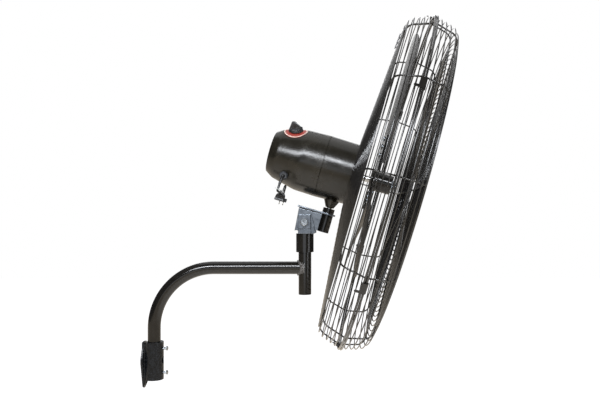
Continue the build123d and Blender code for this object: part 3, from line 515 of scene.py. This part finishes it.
def plug():
    """The moulded plug: a waisted grip with ridges, a lug at its side and two flat pins."""
    place = plug_place()
    bm = bmesh.new()
    sections = []
    for height, wide, deep in PLUG_LEVELS:
        offset = PLUG_OFFSET * min(1, wide * PLUG_OFFSET_GROWTH)
        outline = oblong(PLUG_WIDTH * wide, PLUG_THICK * deep, PLUG_CORNER * deep)
        sections.append([placed(place, x + offset, y, height) for x, y in outline])
    tube(bm, sections)
    outline = oblong(LUG_WIDTH, LUG_THICK, LUG_CORNER)
    tube(bm, [[placed(place, LUG_PLACE + x, y, z) for x, y in outline] for z in LUG_LEVELS])
    grip = new_object("plug_grip", bm, "head", "cord_rubber")
    soften(grip, PLUG_EDGE)
    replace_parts(grip, "plug_body")

    bm = bmesh.new()
    levels = [(PIN_SEAT, 1.0)] + [(PIN_LENGTH - back, share) for back, share in PIN_TAPER]
    for middle in PIN_PLACES:
        sections = []
        for height, share in levels:
            outline = oblong(PIN_WIDE * share, PIN_DEEP * share, PIN_CORNER * share, 2)
            sections.append([placed(place, middle + x, y, PLUG_HEIGHT + height) for x, y in outline])
        tube(bm, sections)
    pins = new_object("plug_blades", bm, "head", "pin_brass")
    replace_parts(pins, "plug_pins")
    return [grip, pins]


def tie_seat():
    """Where the tie holds the cord, and the cord's way there."""
    lengths = [0.0]
    for a, b in zip(cord_line, cord_line[1:]):
        lengths.append(lengths[-1] + (b - a).length)
    step = next(k for k, run in enumerate(lengths) if run >= TIE_PLACE * lengths[-1])
    return cord_line[step], (cord_line[step] - cord_line[step - 1]).normalized()


def twist_tie():
    """A plastic-covered wire round the cord, its two ends twisted together."""
    seat, way = tie_seat()
    bm = bmesh.new()
    side = way.orthogonal().normalized()
    for shift in TIE_LOOPS:
        loop = []
        for k in range(LOOP_STEPS + 1):
            angle = 2 * math.pi * k / LOOP_STEPS
            out = side * math.cos(angle) + way.cross(side) * math.sin(angle)
            loop.append(seat + (out * TIE_R + way * (shift + TIE_LOOP_LEAN * math.sin(angle))) * MM)
        follow(bm, loop, lambda share: oblong(TIE_THIN, TIE_LOOP_WIDE, TIE_CORNER, 2))
    start = seat + (TIE_END - seat).normalized() * TIE_R * MM
    run = TIE_END - start
    across = run.orthogonal().normalized()
    up = run.normalized().cross(across)
    for phase in (0, math.pi):
        strand = []
        for k in range(TWIST_STEPS + 1):
            angle = phase + TWIST_HALF_TURNS * math.pi * k / TWIST_STEPS
            spread = TWIST_R + TWIST_SPLAY * max(0, k / TWIST_STEPS - TWIST_SPLAY_START)
            out = across * math.cos(angle) + up * math.sin(angle)
            strand.append(start + run * k / TWIST_STEPS + out * spread * MM)
        follow(bm, strand, lambda share: oblong(TIE_THIN, TWIST_WIDE, TIE_CORNER, 2))
    tie = new_object("twisted_tie", bm, "head", "white_tie")
    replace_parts(tie, "cord_tie")
    return tie


strain_relief()
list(plug())
twist_tie()

# ------------------------------------------------------------------ speed knob, lengths in mm

KNOB_R, KNOB_TOP, KNOB_FOOT = 18.2, 25.0, 1.12
FLUTES, FLUTE_SIDES, FLUTE_DEPTH, FLUTE_LOW, FLUTE_HIGH = 22, 8, 0.035, 1.5, 6.8
# The skirt's outline: how far in from its edge, and the height
SKIRT = [(0.6, KNOB_FOOT), (0, KNOB_FOOT + 0.6), (0.2, 2.2), (1.2, 6.6), (2.0, 8.0), (4.2, 8.9), (7.5, 9.1)]
GRIP_WIDTH, GRIP_CORNER = 11.0, 2.2
# The grip's levels: height, how far in from the skirt's edge at the back and front, share of the width
GRIP_LEVELS = [(4.0, 2.0, 2.0, 1.15), (9.0, 2.6, 2.4, 1.1), (12.0, 3.8, 3.2, 1.0), (16.0, 5.4, 9.0, 0.93),
               (20.0, 7.0, 14.2, 0.86), (24.0, 8.4, 19.0, 0.8), (KNOB_TOP, 9.6, 20.8, 0.66)]
# The pointer's line as (x, height) points, and its section as offsets from them
POINTER_LINE = [(KNOB_R - 3.0, 12.4), (KNOB_R - 8.6, 16.4), (4.2, 20.3), (-0.4, 24.2)]
POINTER_SECTION = [(0.5, -0.7, 0.5), (0.5, 0.7, 0.5), (-0.6, 0.7, -0.6), (-0.6, -0.7, -0.6)]


def flutes(angle, height):
    wave = (0.5 + 0.5 * math.cos(FLUTES * angle)) ** 2
    return 1 - FLUTE_DEPTH * wave * (FLUTE_LOW < height < FLUTE_HIGH)


def knob():
    """A fluted skirt with a wedge-shaped finger grip and a pale pointer line."""
    bm = bmesh.new()
    turned(bm, DIAL, [(KNOB_R - inset, height) for inset, height in SKIRT], FLUTE_SIDES * FLUTES, flutes)
    skirt = new_object("knob_skirt", bm, "knob", "black_plastic")
    bm = bmesh.new()
    sections = []
    for height, back_inset, front_inset, share in GRIP_LEVELS:
        back, front = back_inset - KNOB_R, KNOB_R - front_inset
        outline = oblong(front - back, GRIP_WIDTH * share, GRIP_CORNER)
        sections.append([placed(DIAL, (front + back) / 2 + x, y, height) for x, y in outline])
    tube(bm, sections)
    grip = new_object("knob_grip", bm, "knob", "black_plastic")
    bm = bmesh.new()
    tube(bm, [[placed(DIAL, x + dx, dy, height + dz) for dx, dy, dz in POINTER_SECTION]
              for x, height in POINTER_LINE])
    pointer = new_object("knob_pointer", bm, "knob", "white_tie", smooth=False)
    for piece in (skirt, grip, pointer):
        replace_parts(piece, "control_knob")


knob()

# ------------------------------------------------------------------ tilt yoke and bracket, lengths in mm

# A plate's own axes: its x along the part's X, its y up and its depth towards the near side
UPRIGHT = Matrix.Rotation(math.radians(90), 4, "X")
BOLT_HOLE, LOW_HOLE, LOW_HOLE_DROP = 5.2, 3.0, 17.0

YOKE_HALF, YOKE_TOP, YOKE_BASE, YOKE_FRONT = 15.75, 18.5, -29.48, 16.35
YOKE_INNER, YOKE_THICK, YOKE_EDGE = 22.0, 3.0, 1.3
YOKE_OUTER = YOKE_INNER + YOKE_THICK
CHEEK = [(-YOKE_HALF, YOKE_BASE), (YOKE_FRONT, YOKE_BASE), (YOKE_FRONT, YOKE_TOP), (-YOKE_HALF, YOKE_TOP)]
BASE_WIDTH, BASE_CORNER, BASE_EDGE = 2 * YOKE_OUTER - 1.0, 1.5, 0.8
# The toe in front of each cheek narrows upwards, and starts a little inside the cheek
TOE_START, TOE_HEEL, TOE_TIP, TOE_TIP_RISE, TOE_NECK = YOKE_FRONT - 0.2, 22.0, 28.0, 2.0, 18.55
TOE = [(TOE_START, YOKE_BASE), (TOE_HEEL, YOKE_BASE), (TOE_TIP, YOKE_BASE + TOE_TIP_RISE),
       (TOE_NECK, YOKE_TOP), (TOE_START, YOKE_TOP)]
RIB_HEIGHT, RIB_CORNER, RIB_SUNK, RIB_PROUD, RIB_EDGE = 36.0, 1.6, 0.9, 1.5, 1.15

BRACKET_THICK, BRACKET_GAP, BRACKET_EDGE, GROOVE = 3.0, 0.3, 0.8, 2.2
BRACKET_OUTER = YOKE_INNER - BRACKET_GAP
BRACKET_INNER = BRACKET_OUTER - BRACKET_THICK
FLANGE_LOW, FLANGE_TOP, FLANGE_BACK, FLANGE_NOSE, FLANGE_EDGE = 32.0, 36.0, -27.0, 68.7, 1.0
# The nose's two round corners leave a short flat between them
NOSE_FLAT_HALF, NOSE_STEPS = 3.0, 14
NOSE_R = BRACKET_OUTER - NOSE_FLAT_HALF
NOSE_X = FLANGE_NOSE - NOSE_R
FLANGE = [(FLANGE_BACK, -BRACKET_OUTER), *arc((NOSE_X, -NOSE_FLAT_HALF), NOSE_R, -90, 0, NOSE_STEPS),
          *arc((NOSE_X, NOSE_FLAT_HALF), NOSE_R, 0, 90, NOSE_STEPS), (FLANGE_BACK, BRACKET_OUTER)]
PIVOT_U, PIVOT_R, PIVOT_CLEAR, PIVOT_SIDES = 49.3, 14.5, 0.1, 48
# The bracket's sides reach a little past the back of the pivot tube, and stop under the flange
BRACKET_PAST_TUBE = 2.0
BRACKET_FRONT, BRACKET_TOP = PIVOT_U - PIVOT_R + BRACKET_PAST_TUBE, FLANGE_LOW - GROOVE
SIDE = [(-22.7, BRACKET_TOP), (-17.5, -27.5), (-14.5, -25.0), (0, -25.5), (13.75, -21.5),
        (BRACKET_FRONT, -11.0), (BRACKET_FRONT, BRACKET_TOP)]
# The fold between each side and the flange, painted dark as painted shade in the groove under the flange: it
# ends inside both
NECK_BACK, NECK_FRONT, NECK_LOW, NECK_HIGH = -22.0, BRACKET_FRONT - 1, BRACKET_TOP - 2, FLANGE_LOW + 0.5
SHADE_NECK = [(NECK_BACK, NECK_HIGH), (NECK_BACK, NECK_LOW), (NECK_FRONT, NECK_LOW), (NECK_FRONT, NECK_HIGH)]
NECK_INNER, NECK_OUTER, NECK_EDGE = BRACKET_INNER + 0.4, BRACKET_OUTER - 1.4, 0.3


def hole(x, y, radius, sides=28):
    return [(x + a, y + b) for a, b in circle(radius, sides)]


def both_sides(bm, place, outlines, low, high, edge):
    """The same upright plate on the near side and on the far side."""
    plate(bm, place @ UPRIGHT, outlines, low, high, edge)
    plate(bm, place @ UPRIGHT, outlines, -high, -low, edge)


def yoke():
    """Two cheeks with a pressed rib plate on each, joined by a base."""
    rib_plate = [(x, y + YOKE_TOP - RIB_HEIGHT / 2) for x, y in oblong(2 * YOKE_HALF, RIB_HEIGHT, RIB_CORNER)]
    holes = [hole(0, 0, BOLT_HOLE), hole(0, -LOW_HOLE_DROP, LOW_HOLE)]
    bm = bmesh.new()
    both_sides(bm, TILT, [CHEEK, *holes], YOKE_INNER, YOKE_OUTER, YOKE_EDGE)
    both_sides(bm, TILT, [TOE], YOKE_INNER, YOKE_OUTER, YOKE_EDGE)
    both_sides(bm, TILT, [rib_plate, *holes], YOKE_OUTER - RIB_SUNK, YOKE_OUTER + RIB_PROUD, RIB_EDGE)
    base = TILT @ Matrix.Translation((0, 0, YOKE_BASE * MM))
    plate(bm, base, [oblong(2 * YOKE_HALF, BASE_WIDTH, BASE_CORNER)], 0, YOKE_THICK, BASE_EDGE)
    piece = new_object("yoke_plates", bm, "yoke", "black_paint", smooth=False, finish="plate_paint")
    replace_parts(piece, "tilt_yoke")


def bracket():
    """Two folded sides under a flange with a rounded nose, and a groove where the fold starts; the fold
    itself is a separate piece painted dark, as painted shade in the groove.
    """
    bm = bmesh.new()
    both_sides(bm, HEAD, [SIDE, hole(0, 0, BOLT_HOLE)], BRACKET_INNER, BRACKET_OUTER, BRACKET_EDGE)
    pivot_hole = hole(PIVOT_U, 0, PIVOT_R + PIVOT_CLEAR, PIVOT_SIDES)
    plate(bm, HEAD, [FLANGE, pivot_hole], FLANGE_LOW, FLANGE_TOP, FLANGE_EDGE)
    plates = new_object("bracket_plates", bm, "tilt_bracket", "black_paint", smooth=False,
                        finish="plate_paint")
    # The folds get the dark tube paint instead of the plates' colour: painted shade in the groove under the
    # flange
    bm = bmesh.new()
    both_sides(bm, HEAD, [SHADE_NECK], NECK_INNER, NECK_OUTER, NECK_EDGE)
    shade_folds = new_object("bracket_painted_shade_folds", bm, "tilt_bracket", "black_paint", smooth=False,
                       finish="tube_paint")
    for piece in (plates, shade_folds):
        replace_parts(piece, "tilt_bracket")


yoke()
bracket()

# ------------------------------------------------------------------ wire guard, lengths in mm

RIM_R, RIM_WIRE, RIM_OFFSET, RIM_SEGMENTS, RIM_SIDES = 420.5, 2.5, 2.65, 200, 12
RIB_COUNT, RIB_WIRE, RIB_BEND, RIB_BEND_STEPS, RIB_SIDES = 12, 1.9, 24.0, 12, 10
RING_WIRE, RING_PITCH, RING_SEGMENTS, RING_SIDES = 1.4, 12.0, 144, 8
REAR_CORNER, FRONT_CORNER = Vector((-59.0, 397.0)), Vector((57.5, 401.5))
FACE_SLOPE, FRONT_DOME = math.radians(4.6), 6.5
PLATE_R, BADGE_R = 72.0, 44.0
# The length at each rib's inner end that has no ring
REAR_FREE, FRONT_FREE = 12.0, 6.0
RIB_END_GAP, TOUCH = 0.2, 0.02
RING_LIFT = RIB_WIRE + RING_WIRE + TOUCH
ROUNDING = 1e-9
STRAY, STRAY_WAVES, STRAY_SEED = 0.8, (1, 2, 3, 5), 11


def on_guard(along, radius, angle):
    """A point by its length along the motor's axis, radius and angle past the top, in mm."""
    return GUARD @ Vector((along * MM, -radius * MM * math.sin(angle), radius * MM * math.cos(angle)))


def straight(angle):
    return 0.0


def ring(bm, spot, wire, segments, sides, way=Vector((1, 0)), wander=straight):
    """A ring of round wire through an (along, radius) spot. wander is how far it strays along way."""
    sections = []
    turns = [2 * math.pi * (j + 0.5) / sides for j in range(sides)]
    for k in range(segments):
        angle = 2 * math.pi * k / segments
        middle = spot + way * wander(angle)
        sections.append([on_guard(middle.x + wire * math.cos(t), middle.y + wire * math.sin(t), angle)
                         for t in turns])
    tube(bm, sections, closed=True)


def rib_line(start, corner, end):
    """A rib's centre line, straight, bent and straight again, as (along, radius) points."""
    one, two = (start - corner).normalized(), (end - corner).normalized()
    half = one.angle(two) / 2
    centre = corner + (one + two).normalized() * RIB_BEND / math.sin(half)
    first, last = (corner + way * RIB_BEND / math.tan(half) - centre for way in (one, two))
    turn = math.atan2(first.x * last.y - first.y * last.x, first.dot(last))
    bend = []
    for k in range(RIB_BEND_STEPS + 1):
        angle = turn * k / RIB_BEND_STEPS
        bend.append(centre + Matrix.Rotation(angle, 2) @ first)
    return [start, *bend, end]


def rib(bm, line, angle):
    across = GUARD.to_3x3() @ Vector((0, -math.cos(angle), -math.sin(angle))) * MM
    turns = [2 * math.pi * j / RIB_SIDES for j in range(RIB_SIDES)]
    sections = []
    for k, point in enumerate(line):
        way = (line[min(k + 1, len(line) - 1)] - line[max(k - 1, 0)]).normalized()
        centre = on_guard(point.x, point.y, angle)
        up = on_guard(point.x - way.y, point.y + way.x, angle) - centre
        sections.append([centre + RIB_WIRE * (up * math.cos(t) + across * math.sin(t)) for t in turns])
    tube(bm, sections)


def rib_start(corner, side):
    """Where a rib ends beside its rim wire, on the rim's inner side."""
    back, drop = side * corner.x - RIM_OFFSET, RIM_R - corner.y
    run = math.hypot(back, drop)
    clear = math.asin((RIM_WIRE + RIB_WIRE + TOUCH) / run)
    reach = run * math.cos(clear)
    angle = math.atan2(drop, back) - clear
    return Vector((corner.x - side * reach * math.cos(angle), corner.y + reach * math.sin(angle)))


def ring_places(line, side, inner_free):
    """Where the rings cross a rib, just outside it at an even pitch, and the rib's way there."""
    lengths = [(b - a).length for a, b in zip(line, line[1:])]
    count = int((sum(lengths) - inner_free) / RING_PITCH + ROUNDING)
    places = []
    for number in range(1, count + 1):
        left, step = number * RING_PITCH, 0
        while left > lengths[step]:
            left -= lengths[step]
            step += 1
        way = (line[step + 1] - line[step]).normalized()
        places.append((line[step] + way * left + Vector((-way.y, way.x)) * side * RING_LIFT, way))
    return places


def hand_made(stream):
    """The smooth, repeatable stray of a welded ring, in mm: a shift and a few slow waves."""
    waves = [(n, stream.uniform(-1, 1) * STRAY / n, stream.uniform(0, 2 * math.pi)) for n in STRAY_WAVES]
    shift = stream.uniform(-0.5, 0.5) * STRAY

    def stray(angle):
        return shift + sum(a * math.sin(n * angle + phase) for n, a, phase in waves)
    return stray


def guard_half(half, corner, end, side, inner_free, stream):
    """One half of the guard: its rim wire, its ribs and its rings."""
    line = rib_line(rib_start(corner, side), corner, end)
    bm = bmesh.new()
    ring(bm, Vector((side * RIM_OFFSET, RIM_R)), RIM_WIRE, RIM_SEGMENTS, RIM_SIDES)
    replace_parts(new_object(f"{half}_rim_wire", bm, "head", "guard_wire"), f"{half}_guard_rim")
    bm = bmesh.new()
    for k in range(RIB_COUNT):
        rib(bm, line, 2 * math.pi * k / RIB_COUNT)
    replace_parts(new_object(f"{half}_rib_wires", bm, "head", "guard_wire"), f"{half}_guard_ribs")
    bm = bmesh.new()
    for spot, way in ring_places(line, side, inner_free):
        ring(bm, spot, RING_WIRE, RING_SEGMENTS, RING_SIDES, way, hand_made(stream))
    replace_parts(new_object(f"{half}_ring_wires", bm, "head", "guard_wire"),
                f"{half}_guard_band_rings", f"{half}_guard_face_rings")


rear_rise = (REAR_CORNER.y - PLATE_R) * math.tan(FACE_SLOPE)
rear_end = Vector((REAR_CORNER.x - rear_rise, PLATE_R + RIB_END_GAP))
front_end = Vector((FRONT_CORNER.x + FRONT_DOME, BADGE_R + RIB_END_GAP))
stream = random.Random(STRAY_SEED)
guard_half("rear", REAR_CORNER, rear_end, -1, REAR_FREE, stream)
guard_half("front", FRONT_CORNER, front_end, 1, FRONT_FREE, stream)

# ------------------------------------------------------------------ guard latches, lengths in mm

LATCH_LEAD, LATCH_COUNT = math.radians(2.9), 6
LATCH_LENGTH, LATCH_THICK, LATCH_CLEAR, LATCH_BEND, LATCH_EDGE = 27.0, 1.5, 0.6, 1.6, 0.3
TAB_REACH, TAB_WIDTH, TAB_THINNER, TAB_SUNK = 12.0, 6.5, 0.2, 0.02
EYE_INNER = RIM_WIRE + LATCH_CLEAR
EYE_OUTER = EYE_INNER + LATCH_THICK
HOOK_FACE = -RIM_OFFSET - EYE_INNER
HOOK_CHAMFER = 0.3
EYE_STEPS, BEND_STEPS, TAB_STEPS = 14, 5, 10


def latch(number):
    """A bent steel clip: an eye round the front rim wire, a bridge, a hook behind the rear one
    and a flat finger tab with a rounded end."""
    place = GUARD @ Matrix.Rotation(LATCH_LEAD + 2 * math.pi * number / LATCH_COUNT, 4, "X")
    eye = (RIM_OFFSET, RIM_R)
    hook_corner = (HOOK_FACE + LATCH_BEND - LATCH_THICK, RIM_R + EYE_OUTER - LATCH_BEND)
    outside = arc(eye, EYE_OUTER, -90, 90, EYE_STEPS) + arc(hook_corner, LATCH_BEND, 90, 180, BEND_STEPS)
    hook = [(HOOK_FACE - LATCH_THICK, RIM_R), (HOOK_FACE, RIM_R),
            (HOOK_FACE, RIM_R + EYE_INNER - HOOK_CHAMFER), (HOOK_FACE + HOOK_CHAMFER, RIM_R + EYE_INNER)]
    profile = outside + hook + arc(eye, EYE_INNER, 90, -90, EYE_STEPS)
    end = LATCH_LENGTH / 2
    bm = bmesh.new()
    tube(bm, [[placed(place, x, y, z) for x, z in profile] for y in (-end, end)])
    half = TAB_WIDTH / 2
    middle = (HOOK_FACE - TAB_REACH + half, half - end)
    root = [(HOOK_FACE, middle[1] - half), (HOOK_FACE, middle[1] + half)]
    outline = arc(middle, half, 90, 270, TAB_STEPS) + root
    low = RIM_R + EYE_INNER - TAB_SUNK
    tube(bm, [[placed(place, x, y, z) for x, y in outline] for z in (low, low + LATCH_THICK - TAB_THINNER)])
    clip = new_object(f"latch_clip_{number + 1}", bm, f"latch_{number + 1}", "guard_wire", smooth=False,
                      finish="tube_paint")
    soften(clip, LATCH_EDGE, 2)
    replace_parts(clip, f"guard_latch_{number + 1}")


for number in range(LATCH_COUNT):
    latch(number)

# ------------------------------------------------------------------ floor

FLOOR_HALF, FLOOR_LEVEL = 14, -1.2
FLOOR_COLOR, FLOOR_GLOW = (0.8, 0.79, 0.78, 1), 0.75
# The glow's colour for all rays but the camera's
FLOOR_TINT = (0.45, 0.33, 0.16, 1)
WHITE = (1, 1, 1, 1)


def background_rays(tree):
    """1 for the rays that show the background: the camera's, mirrored and transmitted ones."""
    ray = tree.nodes.new("ShaderNodeLightPath")
    total = ray.outputs["Is Camera Ray"]
    for kind in ("Is Glossy Ray", "Is Transmission Ray"):
        total = math_node(tree, "MAXIMUM", total, ray.outputs[kind])
    return total


def camera_rays(tree):
    return tree.nodes.new("ShaderNodeLightPath").outputs["Is Camera Ray"]


corners = [(x * FLOOR_HALF, y * FLOOR_HALF, FLOOR_LEVEL) for x, y in ((-1, -1), (1, -1), (1, 1), (-1, 1))]
floor_mesh = bpy.data.meshes.new("floor")
floor_mesh.from_pydata(corners, [], [(0, 1, 2, 3)])
floor = bpy.data.objects.new("floor", floor_mesh)
bpy.context.scene.collection.objects.link(floor)
floor_material, tree, shader = new_material("floor")
tree.nodes.remove(shader)
diffuse = add_node(tree, "ShaderNodeBsdfDiffuse", {"Color": FLOOR_COLOR})
tints = add_node(tree, "ShaderNodeMixRGB", {"Color1": FLOOR_TINT, "Color2": WHITE},
                 {"Fac": camera_rays(tree)})
strength = math_node(tree, "MULTIPLY", background_rays(tree), FLOOR_GLOW)
glow = add_node(tree, "ShaderNodeEmission", links={"Color": tints.outputs[0], "Strength": strength})
both = add_node(tree, "ShaderNodeAddShader", links={0: diffuse.outputs[0], 1: glow.outputs[0]})
tree.links.new(both.outputs[0], tree.nodes["Material Output"].inputs["Surface"])
floor_mesh.materials.append(floor_material)

# ------------------------------------------------------------------ world

# Colours by height, from -1 straight below to 1 straight above. The room lights the object, the sides and
# the front are what it mirrors, and the front is the sky behind the camera's place.
WARM_FLOOR, BRIGHT_FRONT = (0.50, 0.42, 0.31), (1.25, 1.32, 1.42)
ROOM = [(-0.3, (0.30, 0.27, 0.24)), (0.25, (0.42, 0.43, 0.45))]
SIDES = [(-0.22, WARM_FLOOR), (-0.05, (0.10, 0.10, 0.10)), (0.4, (0.07, 0.07, 0.08)),
         (0.99, (0.2, 0.2, 0.2))]
FRONT = [(-0.22, WARM_FLOOR), (-0.12, BRIGHT_FRONT), (0.0, BRIGHT_FRONT), (0.12, (0.3, 0.31, 0.33))]
# The direction's Y at which the front sky starts and is whole
FRONT_STARTS, FRONT_WHOLE = -0.89, -0.97


def directions(tree):
    coords = tree.nodes.new("ShaderNodeTexCoord")
    return add_node(tree, "ShaderNodeSeparateXYZ", links={0: coords.outputs["Generated"]})


def sky(tree, stops):
    """A background whose colour goes by height."""
    height = directions(tree).outputs["Z"]
    lift = add_node(tree, "ShaderNodeMapRange", {"From Min": -1}, {"Value": height})
    colors = add_node(tree, "ShaderNodeValToRGB", links={"Fac": lift.outputs["Result"]})
    elements = colors.color_ramp.elements
    while len(elements) < len(stops):
        elements.new(0.5)
    for element, (level, color) in zip(elements, stops):
        element.position = (level + 1) / 2
        element.color = (*color, 1)
    return add_node(tree, "ShaderNodeBackground", links={"Color": colors.outputs["Color"]})


def mixed(tree, share, one, two):
    links = {"Fac": share, 1: one.outputs[0], 2: two.outputs[0]}
    return add_node(tree, "ShaderNodeMixShader", links=links)


world = bpy.data.worlds.new("studio")
bpy.context.scene.world = world
world.use_nodes = True
tree = world.node_tree
tree.nodes.clear()
facing = add_node(tree, "ShaderNodeMapRange", {"From Min": FRONT_STARTS, "From Max": FRONT_WHOLE},
                  {"Value": directions(tree).outputs["Y"]})
facing.interpolation_type = "SMOOTHSTEP"
mirrored = mixed(tree, facing.outputs["Result"], sky(tree, SIDES), sky(tree, FRONT))
unseen = mixed(tree, background_rays(tree), sky(tree, ROOM), mirrored)
white = add_node(tree, "ShaderNodeBackground", {"Color": WHITE})
seen = mixed(tree, camera_rays(tree), unseen, white)
add_node(tree, "ShaderNodeOutputWorld", links={"Surface": seen.outputs[0]})

# ------------------------------------------------------------------ lamps

COOL, NEUTRAL = (0.92, 0.95, 1), (1, 1, 1)
# Each lamp: its name, place, target, width and height, power and colour
LAMPS = [
    ("strip", (0.58, -2.2, 1.64), (0.5, 0, 0.45), (2.3, 0.34), 74, COOL),
    ("rim", (-0.75, -2.1, 1.55), (0.6, 0, 0.55), (0.6, 0.5), 18, COOL),
    ("side", (2.9, -1.6, 0.9), (0.6, 0, 0.4), (1.1, 2.0), 22, COOL),
    ("top", (0.5, 0.9, 3.2), (0.5, 0, 0.4), (3.6, 3.0), 24, NEUTRAL),
    ("back", (0.2, 2.8, 1.6), (0.6, 0, 0.5), (2.0, 1.4), 14, NEUTRAL),
]
for name, place, target, size, power, color in LAMPS:
    data = bpy.data.lights.new(name, "AREA")
    data.shape = "RECTANGLE"
    data.size, data.size_y = size
    data.energy = power
    data.color = color
    lamp = bpy.data.objects.new(name, data)
    lamp.location = place
    lamp.rotation_euler = (Vector(target) - Vector(place)).to_track_quat("-Z", "Y").to_euler()
    bpy.context.scene.collection.objects.link(lamp)
